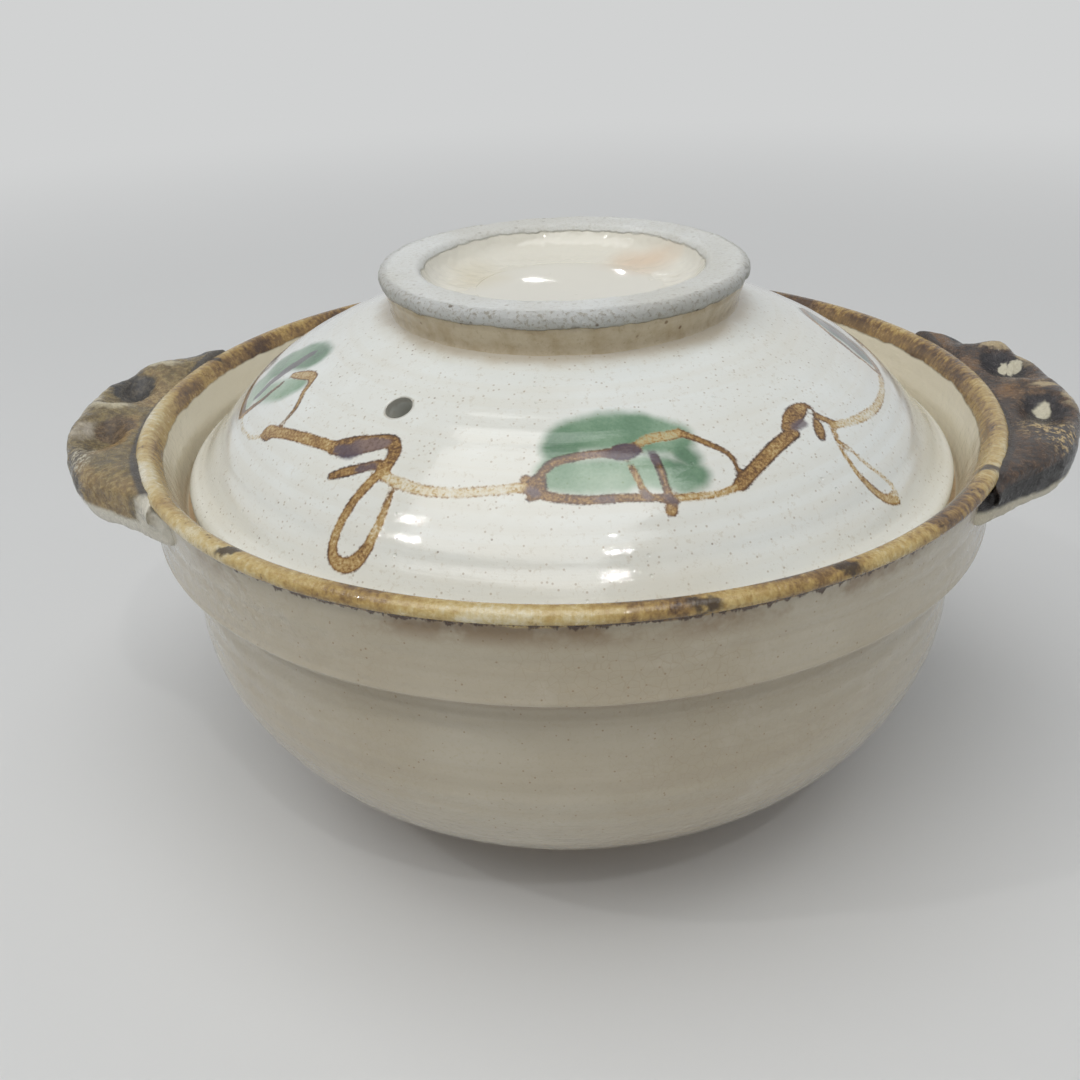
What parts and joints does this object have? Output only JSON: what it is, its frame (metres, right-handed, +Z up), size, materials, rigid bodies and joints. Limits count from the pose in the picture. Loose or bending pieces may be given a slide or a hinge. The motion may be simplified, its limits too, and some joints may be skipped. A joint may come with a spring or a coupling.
{
  "type": "donabe clay pot",
  "caption": "Round lidded clay pot with side lugs, an inner ledge that seats the domed lid, a steam hole and a ring knob; simmers and serves food on a stovetop.",
  "frame": {"origin": "middle of the foot ring's underside, on the surface the pot stands on", "axes": "+X through the right handle, -Y to the front, +Z up the axis the pot was turned on"},
  "size_m": [0.249, 0.21, 0.1341],
  "materials": {
    "pot_glaze": "crackled clear cream glaze over stoneware, gold brown on the lip",
    "lid_glaze": "glossy cream glaze with iron specks, a painted brown vine and green leaves",
    "iron_glaze": "glossy mottled iron brown glaze",
    "bare_clay": "bare off-white fired clay, slightly rough"
  },
  "bodies": {
    "pot": {"pot_bowl": "pot_glaze", "handle_left": "iron_glaze", "handle_right": "iron_glaze"},
    "lid": {"lid_dome": "lid_glaze", "knob_ring": "bare_clay"}
  },
  "joints": [
    {"name": "lid_lift", "type": "slide", "parent": "pot", "child": "lid", "axis": [0, 0, 1], "range_m": [0, 0.1]}
  ]
}
